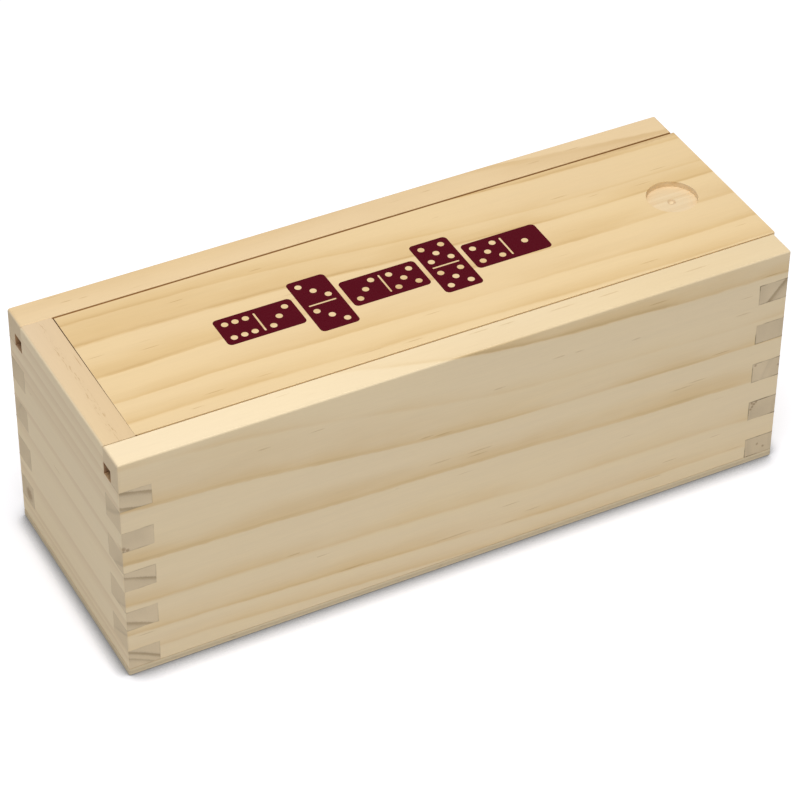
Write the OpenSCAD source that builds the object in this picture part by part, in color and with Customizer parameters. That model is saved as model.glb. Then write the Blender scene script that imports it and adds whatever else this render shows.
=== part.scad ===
// Wooden storage box for a set of dominoes: a finger-jointed frame of four boards on a thin
// plywood bottom, with a lid that slides in grooves and comes out over the lower end board.
// +X points along the box to the end where the lid comes out, +Y to the back and +Z up.
// The origin is the centre of the underside.

/* [Box] */
// Length over the ends of the side boards
box_l = 165; // [100:1:300]
// Width over the faces of the side boards
box_w = 60; // [44:1:120]
// Height from the underside to the top edges of the side boards
box_h = 60; // [36:1:120]
// Thickness of the two long side boards
side_t = 7.5; // [6:0.5:12]
// Thickness of the two end boards
end_t = 7.5; // [6:0.5:12]
// Thickness of the plywood bottom
bottom_t = 2; // [1:0.5:6]

/* [Finger joints] */
// Height of each finger on the end boards
finger_h = 5.3; // [3:0.1:10]

/* [Sliding lid] */
// Thickness of the lid board
lid_t = 7.2; // [5:0.1:12]
// Thickness of the tongue that runs in the grooves
tongue_t = 2.7; // [1.5:0.1:4]
// Depth of the grooves into the boards
groove_d = 3.6; // [2:0.1:4.5]
// Running clearance above and below the tongue
groove_clear = 0.25; // [0.1:0.05:0.5]
// Clearance between the tip of the tongue and the bottom of the groove
tip_clear = 0.4; // [0.2:0.1:1]
// Gap between the raised field of the lid and the front board
front_gap = 0.2; // [0.1:0.1:1]
// Gap between the raised field of the lid and the back board
back_gap = 0.5; // [0.1:0.1:1]
// Gap between the raised field of the lid and the closed end board
end_gap = 0.2; // [0.1:0.1:1]
// How far the lid stands past the open end
lid_proud = 0.6; // [0:0.1:3]

/* [Thumb recess] */
// Diameter of the drilled thumb recess
recess_d = 12; // [8:0.5:20]
// Depth of the thumb recess
recess_depth = 1.5; // [0.5:0.1:2.5]
// Distance from the pull end of the lid to the centre of the recess
recess_inset = 13.8; // [11:0.1:40]
// Diameter of the mark that the drill's centre point leaves
spur_d = 1.6; // [0.6:0.1:3]
// Depth of that mark below the floor of the recess
spur_depth = 0.7; // [0.2:0.1:1.5]

/* [Hidden] */
$fn = 96;

// Overrun that takes a cutting shape past the face it opens
cut = 1;

side_wood = [0.90, 0.80, 0.62];
end_wood = [0.84, 0.74, 0.56];
lid_wood = [0.92, 0.80, 0.58];
ply_wood = [0.76, 0.68, 0.54];

// Clear space between the boards
inner_l = box_l - 2 * end_t;
inner_w = box_w - 2 * side_t;

// The grooves' floor is also the top of the lower end board and of the highest finger
groove_floor_z = box_h - lid_t - groove_clear;
groove_h = tongue_t + 2 * groove_clear;

// The fingers share out the height of the joint, with the first at its top and the last at its foot
joint_h = groove_floor_z - bottom_t;
finger_count = max(2, floor((joint_h + finger_h) / (2 * finger_h)));
finger_pitch = (joint_h - finger_h) / (finger_count - 1);

// Edges of the lid
lid_z = groove_floor_z + groove_clear;
lid_end_x = box_l / 2 + lid_proud;
field_x = end_gap - inner_l / 2;
field_y = front_gap - inner_w / 2;
field_w = inner_w - front_gap - back_gap;
tongue_reach = groove_d - tip_clear;
tongue_x = -inner_l / 2 - tongue_reach;
tongue_w = inner_w + 2 * tongue_reach;

// Fingers of the end board at the front left corner. With an overrun they are the sockets
// that take those fingers, open at the faces of the side board.
module corner_fingers(over = 0) {
    for (i = [0 : finger_count - 1]) {
        foot = i == finger_count - 1 ? over : 0;
        translate([-box_l / 2 - over, -box_w / 2 - over, groove_floor_z - finger_h - i * finger_pitch - foot])
            cube([end_t + over, side_t + 2 * over, finger_h + foot]);
    }
}

// Front side board, with its end sockets and the full-length groove in its inner face
module side_board() {
    color(side_wood)
        difference() {
            translate([-box_l / 2, -box_w / 2, bottom_t])
                cube([box_l, side_t, box_h - bottom_t]);
            for (end = [0, 1])
                mirror([end, 0, 0])
                    corner_fingers(cut);
            translate([-box_l / 2 - cut, -inner_w / 2 - groove_d, groove_floor_z])
                cube([box_l + 2 * cut, groove_d + cut, groove_h]);
        }
}

// End board at the left, as high as top_z, with fingers that reach through both side boards
module end_board(top_z) {
    translate([-box_l / 2, -inner_w / 2, bottom_t])
        cube([end_t, inner_w, top_z - bottom_t]);
    for (side = [0, 1])
        mirror([0, side, 0])
            corner_fingers();
}

module front_side_board() {
    side_board();
}

module back_side_board() {
    mirror([0, 1, 0])
        side_board();
}

// Full-height end board, with the groove that takes the leading tongue of the lid
module closed_end_board() {
    color(end_wood)
        difference() {
            end_board(box_h);
            translate([-inner_l / 2 - groove_d, -inner_w / 2 - cut, groove_floor_z])
                cube([groove_d + cut, inner_w + 2 * cut, groove_h]);
        }
}

// Lower end board that the lid slides over
module open_end_board() {
    color(end_wood)
        mirror([1, 0, 0])
            end_board(groove_floor_z);
}

// Thin plywood sheet glued under the frame
module bottom_panel() {
    color(ply_wood)
        translate([-box_l / 2, -box_w / 2, 0])
            cube([box_l, box_w, bottom_t]);
}

// Flat-bottomed recess with the cone that the centre point of the drill leaves
module thumb_recess() {
    translate([lid_end_x - recess_inset, 0, box_h - recess_depth]) {
        cylinder(d = recess_d, h = recess_depth + cut);
        translate([0, 0, -spur_depth])
            cylinder(d1 = 0, d2 = spur_d, h = spur_depth);
    }
}

// Lid board with a tongue on its front, back and leading edges
module sliding_lid() {
    color(lid_wood)
        difference() {
            union() {
                translate([field_x, field_y, lid_z])
                    cube([lid_end_x - field_x, field_w, lid_t]);
                translate([tongue_x, -tongue_w / 2, lid_z])
                    cube([lid_end_x - tongue_x, tongue_w, tongue_t]);
            }
            thumb_recess();
        }
}

front_side_board();
back_side_board();
closed_end_board();
open_end_board();
bottom_panel();
sliding_lid();
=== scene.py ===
"""Looks for the finger-jointed domino storage box with its sliding lid."""
import math

from dataclasses import dataclass

import bmesh
import bpy
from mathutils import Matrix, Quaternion, Vector


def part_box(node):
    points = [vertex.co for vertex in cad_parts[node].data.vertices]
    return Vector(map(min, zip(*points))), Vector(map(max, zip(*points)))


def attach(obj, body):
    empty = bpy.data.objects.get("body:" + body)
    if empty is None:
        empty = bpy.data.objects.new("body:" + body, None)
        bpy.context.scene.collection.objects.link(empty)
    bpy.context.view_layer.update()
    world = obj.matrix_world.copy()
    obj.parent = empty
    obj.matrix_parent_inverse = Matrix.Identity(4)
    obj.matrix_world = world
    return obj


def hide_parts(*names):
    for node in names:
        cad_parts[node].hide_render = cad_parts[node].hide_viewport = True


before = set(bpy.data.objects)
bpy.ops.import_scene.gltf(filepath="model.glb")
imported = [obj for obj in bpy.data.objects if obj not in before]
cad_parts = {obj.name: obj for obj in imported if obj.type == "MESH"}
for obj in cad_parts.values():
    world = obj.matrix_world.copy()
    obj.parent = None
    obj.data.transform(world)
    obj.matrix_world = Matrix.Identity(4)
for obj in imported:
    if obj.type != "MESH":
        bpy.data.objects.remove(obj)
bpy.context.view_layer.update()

MM = 0.001

# Places closer than this are the same place
SMALL = 0.001 * MM

# Faces of the box and the lid, from the CAD parts in model.glb
BOARD_LOW, BOARD_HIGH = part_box("front_side_board")
LID_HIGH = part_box("sliding_lid")[1]
HALF_L = BOARD_HIGH.x
HALF_W = -BOARD_LOW.y
TOP = BOARD_HIGH.z

# Faces of the box in mm, which is what the materials measure in
INNER_X = -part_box("closed_end_board")[1].x / MM
INNER_Y = -BOARD_HIGH.y / MM
FRONT_Y = BOARD_LOW.y / MM
TOP_Z = TOP / MM
PANEL_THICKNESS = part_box("bottom_panel")[1].z / MM

# Middles of the gaps behind the lid and at its end, in mm
GAP_BACK = INNER_Y - 0.25
GAP_END = 0.1 - INNER_X

# Grooves for the lid's tongue, in mm
GROOVE_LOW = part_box("open_end_board")[1].z / MM
GROOVE_HIGH = GROOVE_LOW + 3.2
GROOVE_DEPTH = 3.6

# Thumb recess, and the mark that the drill's point leaves in it, in mm
RECESS_X = LID_HIGH.x / MM - 13.8
RECESS_RADIUS = 6.0
RECESS_FLOOR = TOP_Z - 1.5
SPUR_RADIUS = 0.8
TURNING_PITCH = 0.9

# Radii of the worked edges
END_EASE = 0.7 * MM
OUTER_EASE = 0.4 * MM
LID_EASE = 0.3 * MM
LID_SIDE_EASE = 0.08 * MM
SEAM_EASE = 0.03 * MM
EASE_SEGMENTS = 3

# Faces that meet at less than FLAT are one face, and an edge is worked from SHARP
FLAT = math.radians(1)
SHARP = math.radians(30)

# Slopes of the lid's end and back edges, which make its gaps wider at one end, and the places
# where the edges keep to the CAD lines
END_SKEW = 0.005
END_PIVOT = 12.0 * MM
BACK_SKEW = 0.0008
BACK_PIVOT = 120.0 * MM

# Camera, from the edges of the box in the photograph
CAMERA_PLACE = Vector((-0.2716, -0.5139, 0.5018))
CAMERA_TARGET = Vector((-0.0016, -0.0017, 0.0272))
CAMERA_ROLL = math.radians(0.58)
CAMERA_LENS = 148.0
CAMERA_SENSOR = 36.0


def colour(red, green, blue):
    """An sRGB colour of 0 to 255 as the linear RGBA that nodes take."""
    shares = [channel / 255 for channel in (red, green, blue)]
    linear = [c / 12.92 if c <= 0.04045 else ((c + 0.055) / 1.055) ** 2.4 for c in shares]
    return (*linear, 1.0)


# Early wood, late wood and the dark line of each ring
SIDE_TONES = (colour(239, 219, 183), colour(230, 203, 157), colour(215, 186, 138))
BACK_TONES = (colour(237, 209, 165), colour(221, 189, 140), colour(205, 168, 117))
END_TONES = (colour(240, 221, 186), colour(229, 206, 170), colour(228, 205, 169))
LID_TONES = (colour(237, 209, 162), colour(226, 194, 142), colour(210, 175, 121))

END_GRAIN = colour(230, 211, 179)
END_FLECK = colour(138, 104, 72)
GLUE = colour(96, 74, 48)
# Painted shade for the grooves where they run out through the closed end
GROOVE_PAINTED_SHADE = colour(160, 104, 62)
# Painted shade for the mouths of the gaps round the lid
GAP_PAINTED_SHADE = colour(150, 97, 34)
# Fresh wood in the thumb recess, made paler also as painted light over its shade
FRESH_WOOD_AND_PAINTED_LIGHT = (colour(226, 198, 156), colour(247, 229, 196))
SPUR_RIM = colour(182, 138, 92)
PLY_FACE = (colour(222, 197, 158), colour(236, 214, 178))
PLY_OUTER = colour(219, 203, 172)
PLY_MIDDLE = colour(187, 168, 139)
INK = (colour(82, 3, 20), colour(98, 20, 34))

BLACK = (0, 0, 0, 1)
WHITE = (1, 1, 1, 1)


class Value:
    """A node's output, so that shader arithmetic reads as arithmetic."""

    def __init__(self, graph, socket):
        self.graph = graph
        self.socket = socket

    def __add__(self, other):
        return self.graph.maths("ADD", self, other)

    def __sub__(self, other):
        return self.graph.maths("SUBTRACT", self, other)

    def __mul__(self, other):
        return self.graph.maths("MULTIPLY", self, other)

    def __rsub__(self, other):
        return self.graph.maths("SUBTRACT", other, self)

    __radd__ = __add__
    __rmul__ = __mul__


class Graph:
    """The nodes of one material or world. An argument is a number, a tuple or a Value."""

    def __init__(self, owner):
        owner.use_nodes = True
        self.owner = owner
        self.nodes = owner.node_tree.nodes
        self.links = owner.node_tree.links
        self.nodes.clear()

    @classmethod
    def of_material(cls, name):
        return cls(bpy.data.materials.new(name))

    def add(self, kind, inputs, **settings):
        node = self.nodes.new(kind)
        for name, setting in settings.items():
            setattr(node, name, setting)
        for name, value in inputs.items():
            if isinstance(value, Value):
                self.links.new(value.socket, node.inputs[name])
            else:
                node.inputs[name].default_value = value
        return node

    def output(self, node, name=0):
        return Value(self, node.outputs[name])

    def maths(self, operation, first, second=0.0):
        return self.output(self.add("ShaderNodeMath", {0: first, 1: second}, operation=operation))

    def least(self, first, second):
        return self.maths("MINIMUM", first, second)

    def most(self, first, second):
        return self.maths("MAXIMUM", first, second)

    def size(self, value):
        return self.maths("ABSOLUTE", value)

    def ramp(self, value, low, high, out_low=0.0, out_high=1.0):
        """Eases from out_low to out_high while value goes from low to high."""
        inputs = {
            "Value": value, "From Min": low, "From Max": high, "To Min": out_low, "To Max": out_high,
        }
        return self.output(self.add("ShaderNodeMapRange", inputs, interpolation_type="SMOOTHSTEP"))

    def point(self, x, y, z):
        return self.output(self.add("ShaderNodeCombineXYZ", {"X": x, "Y": y, "Z": z}))

    def parts(self, vector):
        node = self.add("ShaderNodeSeparateXYZ", {"Vector": vector})
        return [self.output(node, name) for name in "XYZ"]

    def scaled(self, vector, scales):
        inputs = {0: vector, 1: scales}
        return self.output(self.add("ShaderNodeVectorMath", inputs, operation="MULTIPLY"))

    def distance(self, vector, centre):
        inputs = {0: vector, 1: centre}
        return self.output(self.add("ShaderNodeVectorMath", inputs, operation="DISTANCE"), "Value")

    def noise(self, place, size, detail=2.0, roughness=0.5, seed=0.0):
        """Noise from -1 to 1, with features as large as size along each axis of place."""
        moved = {0: place, 1: [1 / s for s in size], 2: (seed, 2.3 * seed, -1.7 * seed)}
        moved = self.output(self.add("ShaderNodeVectorMath", moved, operation="MULTIPLY_ADD"))
        inputs = {"Vector": moved, "Scale": 1.0, "Detail": detail, "Roughness": roughness}
        return self.output(self.add("ShaderNodeTexNoise", inputs, noise_dimensions="3D")) * 2.0 - 1.0

    def blend(self, share, first, second, mode="MIX"):
        """Mixes two colours, which a Mix node takes at its sockets 6 and 7 and gives at 2."""
        settings = {"data_type": "RGBA", "blend_type": mode, "clamp_factor": True}
        node = self.add("ShaderNodeMix", {0: share, 6: first, 7: second}, **settings)
        return self.output(node, 2)

    def bump(self, height, strength, depth):
        inputs = {"Height": height, "Strength": strength, "Distance": depth}
        return self.output(self.add("ShaderNodeBump", inputs))

    def seen_rays(self):
        """1 where a ray shows its surface to the eye, directly, in a reflection or through glass."""
        rays = self.add("ShaderNodeLightPath", {})
        seen = [self.output(rays, "Is %s Ray" % kind) for kind in ("Camera", "Glossy", "Transmission")]
        return self.most(self.most(seen[0], seen[1]), seen[2])

    def finish(self, inputs):
        shader = self.add("ShaderNodeBsdfPrincipled", inputs)
        self.add("ShaderNodeOutputMaterial", {"Surface": self.output(shader)})
        return self.owner


class ShadedPoint:
    """The point being shaded, in mm on its piece, which it rides with. In fibres, the first
    number runs along the grain."""

    def __init__(self, graph, grain="X"):
        coordinates = graph.add("ShaderNodeTexCoord", {})
        self.place = graph.scaled(graph.output(coordinates, "Object"), (1 / MM, 1 / MM, 1 / MM))
        self.x, self.y, self.z = graph.parts(self.place)
        self.along, self.across = (self.x, self.y) if grain == "X" else (self.y, self.x)
        self.fibres = graph.point(self.along, self.across, self.z)
        self.normal = graph.parts(graph.output(coordinates, "Normal"))


def steps(graph, value, stops):
    """A ramp of greys through (place, grey) stops, with places in the units of value."""
    low, high = stops[0][0], stops[-1][0]
    node = graph.add("ShaderNodeValToRGB", {"Fac": (value - low) * (1 / (high - low))})
    elements = node.color_ramp.elements
    for index, (place, grey) in enumerate(stops):
        share = (place - low) / (high - low)
        element = elements[index] if index < len(elements) else elements.new(share)
        element.position = share
        element.color = (grey, grey, grey, 1.0)
    return graph.output(node)


@dataclass
class Fleck:
    """A dark fleck in the wood: its place and its half sizes, in mm."""
    along: float
    across: float
    z: float
    half_length: float
    half_width: float = 0.22


@dataclass
class Cut:
    """How a board was cut from its log, in mm. The fibres run along the axis named grain, and the
    pith lies at a place across the grain and a height. A ring is the radius of its dark line, the
    width of the shade inside the line, and the strength of both. Rings slope by drift along the
    grain, waver, and lose up to the share fading of their shade in places. Swell moves them by
    its reach, (inner, outer), over a span along the grain and between two radii. The faces that
    look up have their own ring contrast, and tints at the two ends of the grain which are partly
    the wood's tone and partly painted light and shade on the top.
    Canals crowd along canal_line, which has a place across the grain and a width. Each noise of
    the board takes a seed of its own, counted on from seed."""
    grain: str
    pith: tuple
    rings: list
    tones: tuple
    seed: float
    drift: float = 0.02
    swell_span: tuple = (-60, 30)
    swell_radii: tuple = (90, 118)
    swell_reach: tuple = (0, 0)
    waver: float = 1.3
    fading: float = 0.65
    face_contrast: float = 1.0
    top_contrast: float = 1.0
    top_tone_and_light: tuple = (WHITE, WHITE)
    canal_line: tuple = (0, 0)
    end_tone: float = 1.0
    end_contrast: float = 1.0
    flecks: tuple = ()


# Width of a ring's dark line inside its radius, how fast it ends outside, and the shade where the
# line starts
LINE_WIDTH = 0.8
LINE_EDGE = 0.5
BAND_SHADE = 0.6

# A colour ramp holds few stops, so a board's rings are shared out over several ramps, and rings on
# different ramps may overlap. Each ramp runs past its rings by a margin, and its stops keep a gap.
RAMP_RINGS = 7
RAMP_MARGIN = 30
STOP_GAP = 0.1


def ring_stops(rings):
    """Stops for the shade of the rings, from 0 for pale wood to 1 for the dark line."""
    stops = [(rings[0][0] - RAMP_MARGIN, 0.0)]
    for radius, width, strength in rings:
        start = max(stops[-1][0] + STOP_GAP, radius - width)
        stops += [(start, 0.0), (radius - LINE_WIDTH, BAND_SHADE * strength), (radius, strength)]
        stops.append((radius + LINE_EDGE, 0.0))
    return stops + [(rings[-1][0] + RAMP_MARGIN, 0.0)]


def ring_shade(graph, cut, at):
    """The shade of the rings at a point, with lines that waver and come and go."""
    wave = graph.noise(at.fibres, (75, 45, 45), detail=1, seed=cut.seed) * cut.waver
    ripple = graph.noise(at.fibres, (14, 5, 5), seed=cut.seed + 1) * (0.3 * cut.waver)
    ragged = graph.noise(at.fibres, (2.5, 0.4, 0.4), seed=cut.seed + 2) * 0.2
    from_pith = graph.distance(graph.point(at.across, at.z, 0.0), (*cut.pith, 0.0))
    swell = graph.ramp(at.along, *cut.swell_span)
    swell = swell * graph.ramp(from_pith, *cut.swell_radii, *cut.swell_reach)
    radius = from_pith - at.along * cut.drift - swell + wave + ripple + ragged
    patches = graph.noise(at.fibres, (30, 8, 8), seed=cut.seed + 3)
    strength = graph.ramp(patches, -0.6, 0.4, 1 - cut.fading, 1.0)
    shade = 0.0
    for first in range(0, len(cut.rings), RAMP_RINGS):
        stops = ring_stops(cut.rings[first:first + RAMP_RINGS])
        shade = graph.most(steps(graph, radius, stops), shade)
    return shade * strength


def canals(graph, cut, at):
    """Resin canals: short dark dashes along the grain, in clusters, and dots along one line."""
    cells = graph.scaled(at.fibres, (1 / 6, 1 / 0.3, 1 / 0.3))
    spots = graph.add("ShaderNodeTexVoronoi", {"Vector": cells, "Scale": 1.0})
    cluster = graph.noise(at.fibres, (25, 6, 6), seed=cut.seed + 7) * 0.02
    pick = graph.parts(graph.output(spots, "Color"))[0] + cluster
    dark = graph.ramp(graph.output(spots, "Distance"), 0.15, 0.55, 1.0, 0.0)
    dark = dark * graph.maths("GREATER_THAN", pick, 0.994)
    line, width = cut.canal_line
    if not width:
        return dark
    wander = graph.noise(at.fibres, (9, 9, 9), seed=cut.seed + 11) * 0.6
    near = graph.ramp(graph.size(at.across - line + wander), 0, width, 1.0, 0.0)
    dots = graph.ramp(graph.noise(at.fibres, (1.8, 0.3, 0.3), seed=cut.seed + 12), 0.05, 0.4)
    return graph.most(dark, dots * near)


def flecks(graph, cut, at):
    """The cut's own flecks, each an ellipsoid along the grain with a ragged edge."""
    wobble = graph.noise(at.fibres, (1.2, 0.5, 0.5), seed=cut.seed + 10) * 0.5
    dark = 0.0
    for fleck in cut.flecks:
        shares = (1 / fleck.half_length, 1 / fleck.half_width, 1 / fleck.half_width)
        centre = [c * share for c, share in zip((fleck.along, fleck.across, fleck.z), shares)]
        distance = graph.distance(graph.scaled(at.fibres, shares), centre)
        dark = graph.most(graph.ramp(distance + wobble, 0.3, 1.1, 0.7, 0.0), dark)
    return dark


# A distance past the reach of any seam, in mm
FAR = 9.0


def finger_levels():
    """Heights of the lower and upper faces of the fingers, from the closed end board, in mm."""
    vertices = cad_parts["closed_end_board"].data.vertices
    ends = [v.co.z for v in vertices if abs(abs(v.co.y) - HALF_W) < SMALL]
    return sorted({round(z / MM, 3) for z in ends})


def seam_shade(graph, at):
    """1 on the glue lines of the finger joints, with gaps where the joint is tight."""
    levels = finger_levels()
    height = levels[1] - levels[0]
    pitch = levels[2] - levels[0]
    from_end = graph.size(at.x) - INNER_X
    from_side = graph.size(at.y) - INNER_Y
    corner = graph.ramp(graph.least(from_end, from_side), -0.2, -0.05)
    below = graph.maths("LESS_THAN", at.z, levels[-1] + 0.3)
    rise = graph.maths("FLOORED_MODULO", at.z - levels[0], pitch)
    in_finger = graph.maths("LESS_THAN", rise, height)
    level = graph.least(graph.least(rise, graph.size(rise - height)), pitch - rise)
    upright_x = graph.size(from_end) + (1.0 - in_finger) * FAR
    upright_y = graph.size(from_side) + in_finger * FAR
    distance = graph.least(level, graph.least(upright_x, upright_y))
    ragged = graph.noise(at.place, (0.5, 0.5, 0.5), seed=4.0) * 0.06
    tight = graph.ramp(graph.noise(at.place, (5, 5, 5), seed=7.0), -0.3, 0.4)
    open_end = graph.ramp(at.x, -INNER_X, INNER_X, 0.5, 1.4)
    return graph.ramp(distance + ragged, 0.02, 0.22, 1.0, 0.0) * corner * below * tight * open_end


def gap_shade(graph, at):
    """Painted shade in the mouths of two gaps round the lid: on the arrises behind it, and on the
    walls at its end."""
    wander = graph.noise(at.place, (12, 12, 12), seed=17.0) * 0.04
    back = graph.ramp(graph.size(at.y - GAP_BACK) + wander, 0.3, 0.42, 1.0, 0.0)
    back = back * graph.ramp(at.x, GAP_END - 0.5, GAP_END + 0.2)
    end = graph.ramp(graph.size(at.x - GAP_END), 0.35, 0.4, 1.0, 0.0)
    end = end * graph.ramp(graph.size(at.y), GAP_BACK, GAP_BACK + 0.2, 1.0, 0.0)
    walls = graph.ramp(at.z, TOP_Z - 0.15, TOP_Z - 0.05, 1.0, 0.0)
    return graph.most(back, end * walls) * graph.ramp(at.z, TOP_Z - 1.3, TOP_Z - 0.7)


def groove_shade(graph, at):
    """Painted shade: 1 on the walls of the grooves where they run out through the closed end."""
    height = graph.ramp(at.z, GROOVE_LOW - 0.1, GROOVE_LOW + 0.1)
    height = height * graph.ramp(at.z, GROOVE_HIGH - 0.1, GROOVE_HIGH + 0.1, 1.0, 0.0)
    depth = graph.size(graph.size(at.y) - INNER_Y - GROOVE_DEPTH / 2)
    inside = graph.ramp(depth, GROOVE_DEPTH / 2, GROOVE_DEPTH / 2 + 0.1, 1.0, 0.0)
    return height * inside * graph.ramp(at.x, -INNER_X - 4, -INNER_X, 1.0, 0.0)


def add_joints(graph, at, surface, relief):
    """Glue lines in the finger joints, and painted shade on the grooves where they run out."""
    seam = seam_shade(graph, at)
    surface = graph.blend(seam * 0.6, surface, GLUE)
    # Painted shade on the groove walls at the closed end
    surface = graph.blend(groove_shade(graph, at) * 0.6, surface, GROOVE_PAINTED_SHADE)
    return surface, relief - seam * 0.8


def add_recess(graph, at, surface, relief, mottle):
    """Fresh wood on the floor and the torn wall of the thumb recess, paler also as painted light
    that lifts the shade in the recess, with the rings that the bit leaves, and a darker rim round
    the mark of its point."""
    distance = graph.distance(graph.scaled(at.place, (1, 1, 0)), (RECESS_X, 0, 0))
    near = graph.ramp(distance, RECESS_RADIUS + 0.1, RECESS_RADIUS + 0.3, 1.0, 0.0)
    near = near * graph.ramp(at.z, RECESS_FLOOR - 1.2, RECESS_FLOOR - 1.0)
    above = graph.ramp(at.z, RECESS_FLOOR + 0.1, RECESS_FLOOR + 0.4)
    floor = near * (1.0 - above)
    wall = near * above * graph.ramp(at.z, TOP_Z - 0.3, TOP_Z - 0.05, 1.0, 0.0)
    rim = graph.ramp(graph.size(distance - SPUR_RADIUS), 0.1, 0.35, 1.0, 0.0) * floor
    marks = graph.maths("SINE", distance * (2 * math.pi / TURNING_PITCH))
    # The recess's floor and wall: fresh wood, and painted light that lifts their shade
    surface = graph.blend(floor * 0.8 + wall * 0.7, surface, graph.blend(mottle + 0.5, *FRESH_WOOD_AND_PAINTED_LIGHT))
    return graph.blend(rim * 0.35, surface, SPUR_RIM), relief + marks * floor * 0.5


# The two tints on the top, partly painted light and shade, are reached this far from the middle of the
# board, in mm
TINT_REACH = 80


def ring_colour(graph, cut, at, shade):
    """Planed wood by the shade of its rings, with tints on the top edge that are partly painted light
    and shade.
    """
    top = graph.ramp(at.normal[2], 0.7, 0.95)
    contrast = cut.face_contrast + top * (cut.top_contrast - cut.face_contrast)
    early, late, line = cut.tones
    wood = graph.blend(graph.ramp(shade, 0.0, BAND_SHADE) * contrast, early, late)
    wood = graph.blend(graph.ramp(shade, 0.8 * BAND_SHADE, 1.0) * contrast, wood, line)
    # Faces that look up take tints that are partly painted light and shade
    top_tint_and_light = graph.blend(graph.ramp(at.along, -TINT_REACH, TINT_REACH), *cut.top_tone_and_light)
    return graph.blend(top, wood, graph.blend(1.0, wood, top_tint_and_light, "MULTIPLY"))


def end_grain(graph, cut, shade, pores, cloud):
    """End grain, which is darker, with crisper rings and open pores."""
    crisp = graph.ramp(shade, 0.35, 0.8) * cut.end_contrast
    tone = cut.end_tone - shade * 0.12 - crisp * 0.24 + pores * 0.06 + cloud * 0.16 * cut.end_contrast
    tint = graph.point(tone, tone * 0.99 - crisp * 0.03, tone * 0.98 - crisp * 0.07)
    return graph.blend(1.0, END_GRAIN, tint, "MULTIPLY")


def pine(name, cut, is_lid=False):
    """Planed pine, with end grain where the surface cuts the fibres."""
    graph = Graph.of_material(name)
    at = ShadedPoint(graph, cut.grain)
    shade = ring_shade(graph, cut, at)
    fleck = flecks(graph, cut, at)
    canal = graph.most(canals(graph, cut, at), fleck)
    streak = graph.noise(at.fibres, (40, 1.3, 1.3), detail=3, seed=cut.seed + 4)
    fibre = graph.noise(at.fibres, (5, 0.28, 0.28), detail=3, roughness=0.6, seed=cut.seed + 5)
    patch = graph.noise(at.fibres, (45, 14, 14), seed=cut.seed + 6)
    pores = graph.noise(at.place, (0.35, 0.35, 0.35), detail=3, roughness=0.7, seed=cut.seed + 8)
    cloud = graph.noise(at.fibres, (900, 9, 9), detail=2, seed=cut.seed + 9)

    tone = 1.0 + streak * 0.025 + fibre * 0.035 + patch * 0.025 - canal * 0.2
    tint = graph.point(tone, tone - canal * 0.06, tone - patch * 0.03 - canal * 0.14)
    face = graph.blend(1.0, ring_colour(graph, cut, at, shade), tint, "MULTIPLY")
    end = graph.ramp(graph.size(at.normal["XYZ".index(cut.grain)]), 0.55, 0.85)
    end_face = graph.blend(fleck * 0.75, end_grain(graph, cut, shade, pores, cloud), END_FLECK)
    surface = graph.blend(end, face, end_face)
    relief = fibre * 0.25 + shade * 0.35 - canal * 0.6 + pores * end * 0.9

    if is_lid:
        surface, relief = add_recess(graph, at, surface, relief, streak + cloud)
    else:
        surface, relief = add_joints(graph, at, surface, relief)
    # The mouths of the gaps round the lid get painted shade
    return graph.finish({
        "Base Color": graph.blend(gap_shade(graph, at) * 0.9, surface, GAP_PAINTED_SHADE),
        "Roughness": 0.62 + fibre * 0.05 - shade * 0.08 + end * 0.2,
        "Normal": graph.bump(relief, 0.35, 0.05 * MM),
        "Specular IOR Level": 0.15,
    })


def plywood(name):
    """Three thin plies, with the grain of the middle one across the box."""
    graph = Graph.of_material(name)
    at = ShadedPoint(graph)
    veneer = graph.noise(at.place, (60, 3.5, 3.5), detail=3, seed=11) * 0.6
    veneer = veneer + graph.noise(at.place, (9, 0.4, 2), detail=3, seed=12) * 0.4
    crossing = graph.noise(at.place, (0.6, 0.6, 0.3), detail=3, roughness=0.7, seed=13)
    dark_bits = graph.ramp(graph.noise(at.place, (4, 4, 0.5), detail=2, seed=15), 0.1, 0.5)
    wander = graph.noise(at.place, (6, 6, 1), seed=14) * 0.04
    from_middle = graph.size(at.z + wander - PANEL_THICKNESS / 2)
    middle = graph.ramp(from_middle, PANEL_THICKNESS * 0.14, PANEL_THICKNESS * 0.2, 1.0, 0.0)
    side = graph.ramp(graph.size(at.normal[2]), 0.35, 0.7, 1.0, 0.0)
    face = graph.blend(veneer * 0.5 + 0.5, *PLY_FACE)
    edge = graph.blend(middle * (0.35 + dark_bits * 0.65), PLY_OUTER, PLY_MIDDLE)
    edge_tone = 1.0 + crossing * 0.1 + veneer * 0.04
    edge = graph.blend(1.0, edge, graph.point(edge_tone, edge_tone, edge_tone), "MULTIPLY")
    return graph.finish({
        "Base Color": graph.blend(side, face, edge),
        "Roughness": 0.68 + crossing * 0.06,
        "Normal": graph.bump(crossing * side + veneer * 0.3, 0.4, 0.05 * MM),
        "Specular IOR Level": 0.15,
    })


def ink(name):
    """Dark red printing ink, a little thinner where the fibres stand proud."""
    graph = Graph.of_material(name)
    at = ShadedPoint(graph)
    fibre = graph.noise(at.place, (6, 0.35, 1), detail=3, roughness=0.6, seed=21)
    patch = graph.noise(at.place, (14, 5, 1), seed=22)
    thin = graph.ramp(fibre * 0.7 + patch * 0.3, 0.0, 1.0)
    return graph.finish({
        "Base Color": graph.blend(thin, *INK),
        "Roughness": 0.6 + fibre * 0.06,
        "Normal": graph.bump(fibre, 0.2, 0.03 * MM),
        "Specular IOR Level": 0.05,
    })


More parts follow.
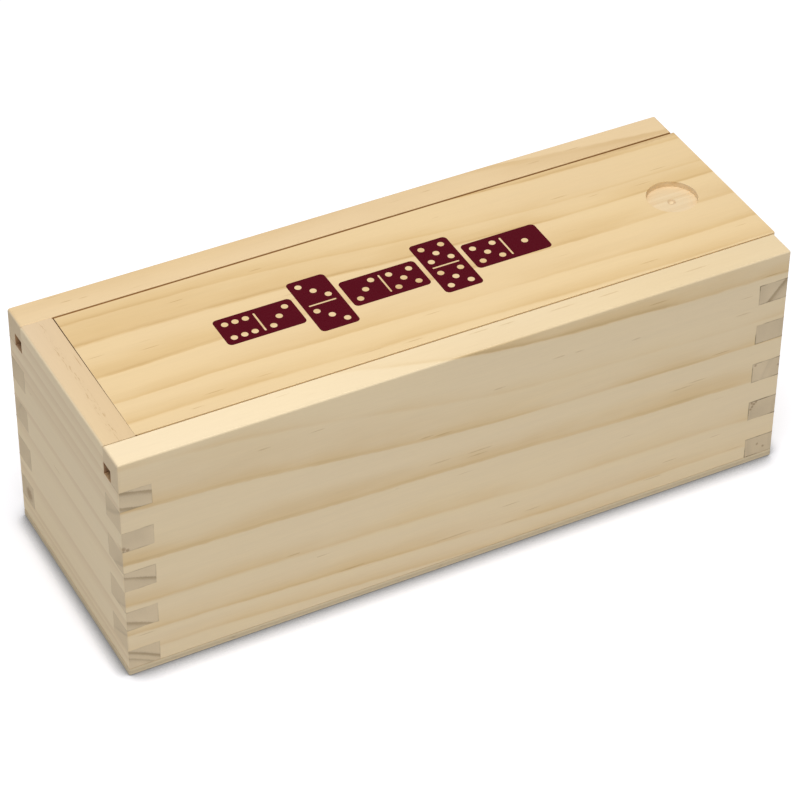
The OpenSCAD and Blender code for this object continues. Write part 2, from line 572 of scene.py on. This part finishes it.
FRONT = Cut(
    grain="X", pith=(25, 130), tones=SIDE_TONES, seed=1.0, drift=0.03,
    rings=[
        (82.9, 11.0, 1.0), (93.0, 4.0, 0.45), (102.0, 5.5, 0.95), (114.1, 7.0, 1.0),
        (124.7, 6.0, 0.75), (132.6, 5.5, 0.8), (137.5, 4.0, 0.6), (101.8, 13.0, 0.65),
    ],
    swell_span=(-62, 28), swell_radii=(101, 115), swell_reach=(8, 1.6),
    # The tints on the top are partly painted light: lighter at the left end, darker at the right
    top_contrast=0.3, top_tone_and_light=((1.09, 1.09, 1.1, 1), (0.98, 0.95, 0.885, 1)),
    end_tone=0.97, end_contrast=0.3,
    flecks=(
        Fleck(-49, -30, 52, 1.8), Fleck(-6, -30, 32, 3.2), Fleck(4, -30, 31.7, 4.4),
        Fleck(3, -30, 30.6, 2.8), Fleck(23, -30, 51, 2.0), Fleck(28, -30, 50.8, 1.5),
        Fleck(43, -30, 49, 1.6), Fleck(71, -30, 46, 2.2), Fleck(-10, -30, 40.4, 2.0),
        Fleck(-6, -30, 39.8, 3.0), Fleck(-28, -30, 9.6, 4.0), Fleck(-3, -30, 8.6, 6.5),
        Fleck(50, -30, 5.6, 3.0), Fleck(56, -30, 30, 3.5), Fleck(8, -30, 47.6, 2.0),
        Fleck(6, -24, 60, 3.0), Fleck(13, -24.3, 60, 2.5), Fleck(26, -24.8, 60, 4.0),
        Fleck(38, -25.2, 60, 3.5), Fleck(60, -26, 60, 4.0),
    ),
)
BACK = Cut(
    grain="X", pith=(-60, -40), tones=BACK_TONES, seed=31.0, drift=-0.03,
    rings=[
        (68, 5, 0.8), (79, 6, 0.5), (90, 5, 0.9), (101, 6, 0.6), (112, 5, 0.8), (123, 6, 0.9),
        (135.6, 9, 0.7),
    ],
    swell_span=(20, 90), swell_reach=(-3, -3),
    end_tone=0.94, end_contrast=0.5,
    flecks=(
        Fleck(-70, 26.4, 60, 1.6), Fleck(-66, 26.0, 60, 1.2), Fleck(47.5, 26.2, 60, 2.0),
        Fleck(58.8, 26.9, 60, 2.4), Fleck(20, 27.4, 60, 1.5), Fleck(-82, 25.2, 9.8, 3, 2.2),
    ),
)
CLOSED_END = Cut(
    grain="Y", pith=(-105, -45), tones=END_TONES, seed=51.0, drift=0.0075, waver=0.4, fading=0.2,
    rings=[
        (55.3, 1.2, 0.7), (57.1, 1.2, 0.9), (65.3, 4.0, 1.0), (77.5, 4.0, 0.8), (84.5, 1.6, 1.0),
        (96.4, 4.2, 1.0), (100.5, 2.8, 1.0), (93.4, 3.5, 0.9), (104.2, 3.4, 0.8), (110.6, 5.0, 1.0),
    ],
    # The tints on the top are partly painted shade, darkening and yellowing the top
    face_contrast=0.65, top_tone_and_light=((0.965, 0.89, 0.75, 1), (0.94, 0.888, 0.9, 1)),
    end_tone=0.93, canal_line=(-78.4, 1.1),
    flecks=(Fleck(-30, -82.2, 36.8, 3, 0.8), Fleck(-30, -81.2, 36.3, 3, 0.6)),
)
OPEN_END = Cut(
    grain="Y", pith=(125, 10), tones=END_TONES, seed=71.0, drift=-0.02, waver=0.4, fading=0.2,
    rings=[(43, 3, 0.5), (49, 1.5, 0.5), (59.9, 6, 1), (68, 4, 0.6)],
    end_tone=0.9,
    flecks=(
        Fleck(-30, 78.3, 5.0, 3, 0.45), Fleck(-30, 80.0, 3.8, 2, 0.45),
        Fleck(-30, 75.7, 18.2, 4, 0.45), Fleck(-30, 76.3, 17.8, 4, 0.45),
        Fleck(-30, 76.9, 18.2, 4, 0.45), Fleck(-30, 75.9, 17.1, 4, 0.45),
        Fleck(-30, 75.5, 16.4, 4, 0.45), Fleck(-30, 75.7, 29.5, 3, 0.45),
        Fleck(-30, 82.1, 27.6, 3, 0.45),
    ),
)
LID = Cut(
    grain="X", pith=(95, 130), tones=LID_TONES, seed=91.0, drift=0.01,
    rings=[
        (95.7, 6.0, 1.0), (104.3, 4.5, 0.85), (110.5, 5.0, 1.0), (119.9, 8.0, 1.0),
        (127.7, 6.0, 0.75), (133.9, 4.5, 0.75), (139.5, 4.0, 0.5), (110.4, 14.0, 1.0),
    ],
    swell_span=(-50, 50), swell_radii=(107, 120), swell_reach=(6, 1),
    flecks=(
        Fleck(76, 21.9, 60, 20, 1.2), Fleck(46, 11.5, 60, 2.5), Fleck(-2, 5, 60, 2.5),
        Fleck(-28, 18, 60, 1.8), Fleck(52, -19, 60, 3.0), Fleck(-18, -19.5, 60, 4.0),
        Fleck(-8, -20.4, 60, 3.0), Fleck(33, 21.5, 60, 3.0),
    ),
)


def is_worked(edge):
    """Whether two faces meet at the edge at a real angle, and not along a curve."""
    return len(edge.link_faces) == 2 and edge.calc_face_angle() >= SHARP


def edge_radius(edge):
    """Radius of a box edge: large on the outer corners, small at the joints, 0 on a curve."""
    if not is_worked(edge):
        return 0.0
    planes = 0
    for axis, reach in ((0, HALF_L), (1, HALF_W)):
        planes += all(abs(abs(v.co[axis]) - reach) < SMALL for v in edge.verts)
    at_top = all(abs(v.co.z - TOP) < SMALL for v in edge.verts)
    at_end = all(abs(v.co.x + HALF_L) < SMALL for v in edge.verts)
    planes += at_top + all(abs(v.co.z) < SMALL for v in edge.verts)
    if at_top and at_end:
        return END_EASE
    return OUTER_EASE if planes >= 2 else SEAM_EASE


def lid_edge_radius(edge):
    """Radius of a lid edge: larger at the pull end, 0 on a curve."""
    if not is_worked(edge):
        return 0.0
    at_end = all(abs(v.co.x - LID_HIGH.x) < SMALL for v in edge.verts)
    return LID_EASE if at_end else LID_SIDE_EASE


def skew_lid(shape):
    """Turns the edges of the lid's raised field a little, as on a lid planed by hand."""
    field = [v for v in shape.verts if abs(v.co.z - TOP) < SMALL]
    end, back = min(v.co.x for v in field), max(v.co.y for v in field)
    for vertex in shape.verts:
        at_end, at_back = abs(vertex.co.x - end) < SMALL, abs(vertex.co.y - back) < SMALL
        if at_end:
            vertex.co.x += END_SKEW * (vertex.co.y - END_PIVOT)
        if at_back:
            vertex.co.y -= BACK_SKEW * (vertex.co.x - BACK_PIVOT)


def eased_board(node, body, material, radius_of, reshape=None):
    """A clean copy of a CAD node with its edges eased, which stands for the node."""
    shape = bmesh.new()
    shape.from_mesh(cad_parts[node].data)
    bmesh.ops.remove_doubles(shape, verts=shape.verts, dist=SMALL)
    bmesh.ops.dissolve_limit(shape, angle_limit=FLAT, verts=shape.verts, edges=shape.edges)
    if reshape:
        reshape(shape)
    weights = shape.edges.layers.float.new("bevel_weight_edge")
    for edge in shape.edges:
        edge[weights] = radius_of(edge) / END_EASE
    for face in shape.faces:
        face.smooth = True
        face.material_index = 0
    mesh = bpy.data.meshes.new(node + "_wood")
    shape.to_mesh(mesh)
    shape.free()
    mesh.materials.append(material)
    board = bpy.data.objects.new(node + "_wood", mesh)
    bpy.context.scene.collection.objects.link(board)
    bevel = board.modifiers.new("Eased edges", "BEVEL")
    bevel.limit_method = "WEIGHT"
    bevel.width = END_EASE
    bevel.segments = EASE_SEGMENTS
    bevel.use_clamp_overlap = True
    board.modifiers.new("Flat faces", "WEIGHTED_NORMAL").keep_sharp = False
    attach(board, body)
    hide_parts(node)


def build_boards():
    boards = [
        ("front_side_board", "side_board_pine", pine("front_pine", FRONT)),
        ("back_side_board", "side_board_pine", pine("back_pine", BACK)),
        ("closed_end_board", "end_board_pine", pine("closed_end_pine", CLOSED_END)),
        ("open_end_board", "end_board_pine", pine("open_end_pine", OPEN_END)),
        ("bottom_panel", "bottom_plywood", plywood("bottom_plies")),
    ]
    for node, slot, material in boards:
        eased_board(node, "box", material, edge_radius)
    lid_pine = pine("lid_grain", LID, is_lid=True)
    eased_board("sliding_lid", "lid", lid_pine, lid_edge_radius, skew_lid)


# The print on the lid: a row of domino tiles, laid as in play, with doubles across the row
TILE_LONG = 19.0 * MM
TILE_SHORT = 9.5 * MM
TILE_GAP = 1.1 * MM
TILE_CORNER = 1.1 * MM
DIVIDER = 0.45 * MM
DIVIDER_INSET = 1.4 * MM
PIP_RADIUS = 0.8 * MM
PIP_PITCH = 2.5 * MM
# Each pip of a number is turned a little from the last, so that no two have facets in one line,
# which would fill with slivers
PIP_TURN = 0.04
INK_HEIGHT = 0.015 * MM
PRINT_CENTRE = Vector((-4.5 * MM, 0.6 * MM))
ROW = [(6, 3), (3, 3), (3, 5), (5, 5), (5, 1)]
PIPS = {
    1: [(0, 0)],
    3: [(-1, -1), (0, 0), (1, 1)],
    5: [(-1, -1), (-1, 1), (0, 0), (1, -1), (1, 1)],
    6: [(-1, -1), (0, -1), (1, -1), (-1, 1), (0, 1), (1, 1)],
}


def rounded_outline(half_x, half_y, corner, points=6):
    """Points round a rectangle with round corners, about the origin."""
    outline = []
    for quarter, (sx, sy) in enumerate(((1, 1), (-1, 1), (-1, -1), (1, -1))):
        for step in range(points + 1):
            angle = (quarter + step / points) * math.pi / 2
            outline.append(Vector((
                sx * (half_x - corner) + corner * math.cos(angle),
                sy * (half_y - corner) + corner * math.sin(angle),
            )))
    return outline


def circle(centre, radius, first_turn, points=28):
    turns = [first_turn + 2 * math.pi * i / points for i in range(points)]
    return [centre + radius * Vector((math.cos(t), math.sin(t))) for t in turns]


def tile_outlines(numbers):
    """Outline, divider and pips of a tile that lies along X, about the origin."""
    outlines = [
        rounded_outline(TILE_LONG / 2, TILE_SHORT / 2, TILE_CORNER),
        rounded_outline(DIVIDER / 2, TILE_SHORT / 2 - DIVIDER_INSET, DIVIDER / 2),
    ]
    for side, number in zip((-1, 1), numbers):
        middle = Vector((side * TILE_LONG / 4, 0))
        for index, pip in enumerate(PIPS[number]):
            outlines.append(circle(middle + PIP_PITCH * Vector(pip), PIP_RADIUS, PIP_TURN * index))
    return outlines


def build_print():
    curve = bpy.data.curves.new("lid_print", "CURVE")
    curve.dimensions = "2D"
    curve.fill_mode = "BOTH"
    curve.extrude = INK_HEIGHT
    widths = [TILE_SHORT if first == second else TILE_LONG for first, second in ROW]
    left = -(sum(widths) + TILE_GAP * (len(ROW) - 1)) / 2
    for numbers, width in zip(ROW, widths):
        middle = PRINT_CENTRE + Vector((left + width / 2, 0))
        left += width + TILE_GAP
        for outline in tile_outlines(numbers):
            spline = curve.splines.new("POLY")
            spline.points.add(len(outline) - 1)
            for point, place in zip(spline.points, outline):
                turned = Vector((-place.y, place.x)) if width == TILE_SHORT else place
                point.co = (*(middle + turned), 0.0, 1.0)
            spline.use_cyclic_u = True
    curve.materials.append(ink("print_ink"))
    design = bpy.data.objects.new("lid_print", curve)
    design.location.z = LID_HIGH.z
    bpy.context.scene.collection.objects.link(design)
    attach(design, "lid")


# The floor reads as white where it is seen, and keeps the shadow. It is darkened by how open it is
# within the reach, down to CONTACT_SHADE beside the box. The reach is longer in front of the box,
# where the key light thins the shadow, and changes over FRONT_FADE, in mm.
FLOOR_COLOUR = (0.82, 0.815, 0.825, 1.0)
SEEN_FLOOR_COLOUR = (0.82, 0.82, 0.865, 1.0)
FLOOR_GLOW = 0.42
FLOOR_SIZE = 6.0
FLOOR_DROP = 0.02 * MM
OPEN_BESIDE_BOX = 0.5
OPEN_CLEAR_OF_BOX = 0.92
CONTACT_SHADE = 0.27
CONTACT_REACH = 4.8 * MM
FRONT_REACH = 7.0 * MM
FRONT_FADE = (FRONT_Y - 6.0, FRONT_Y + 4.0)


def build_floor():
    graph = Graph.of_material("floor")
    seen = graph.seen_rays()
    reach = graph.ramp(ShadedPoint(graph).y, *FRONT_FADE, FRONT_REACH, CONTACT_REACH)
    openness = graph.add("ShaderNodeAmbientOcclusion", {"Distance": reach}, samples=8)
    contact = graph.output(graph.add("ShaderNodeMapRange", {
        "Value": graph.output(openness, "AO"),
        "From Min": OPEN_BESIDE_BOX,
        "From Max": OPEN_CLEAR_OF_BOX,
        "To Min": CONTACT_SHADE,
        "To Max": 1.0,
    }))
    bare = graph.blend(seen, FLOOR_COLOUR, SEEN_FLOOR_COLOUR)
    shaded = graph.blend(1.0 - seen * (1.0 - contact), BLACK, bare)
    diffuse = graph.add("ShaderNodeBsdfDiffuse", {"Color": shaded})
    glow = graph.add("ShaderNodeEmission", {"Strength": seen * contact * FLOOR_GLOW})
    both = graph.add("ShaderNodeAddShader", {0: graph.output(diffuse), 1: graph.output(glow)})
    graph.add("ShaderNodeOutputMaterial", {"Surface": graph.output(both)})
    bpy.ops.mesh.primitive_plane_add(size=FLOOR_SIZE, location=(0, 0, -FLOOR_DROP))
    floor = bpy.context.object
    floor.name = "floor"
    floor.data.materials.append(graph.owner)


def aim(thing, place, target, roll=0.0):
    """Puts a lamp or camera at a place, turned to a target."""
    thing.location = place
    thing.rotation_mode = "QUATERNION"
    turn = (Vector(target) - Vector(place)).to_track_quat("-Z", "Y")
    thing.rotation_quaternion = turn @ Quaternion((0, 0, 1), roll)
    bpy.context.scene.collection.objects.link(thing)


# The world lights the object softly, and is plain white where it is seen
SKY_STRENGTH = 0.38
KEY_PLACE = (-0.06, -0.14, 0.68)
KEY_SIZE = 0.45
KEY_POWER = 2.95


def build_light():
    light = bpy.data.lights.new("key", "AREA")
    light.shape = "DISK"
    light.size = KEY_SIZE
    light.energy = KEY_POWER
    aim(bpy.data.objects.new("key", light), KEY_PLACE, (0, 0, 0))
    world = bpy.data.worlds.new("studio")
    bpy.context.scene.world = world
    graph = Graph(world)
    strength = SKY_STRENGTH + graph.seen_rays() * (1.0 - SKY_STRENGTH)
    sky = graph.add("ShaderNodeBackground", {"Color": WHITE, "Strength": strength})
    graph.add("ShaderNodeOutputWorld", {"Surface": graph.output(sky)})


def build_camera():
    camera = bpy.data.objects.new("camera", bpy.data.cameras.new("camera"))
    camera.data.sensor_width = CAMERA_SENSOR
    camera.data.lens = CAMERA_LENS
    aim(camera, CAMERA_PLACE, CAMERA_TARGET, CAMERA_ROLL)
    bpy.context.scene.camera = camera


build_camera()
build_boards()
build_print()
build_floor()
build_light()
bpy.context.scene.view_settings.view_transform = "Standard"
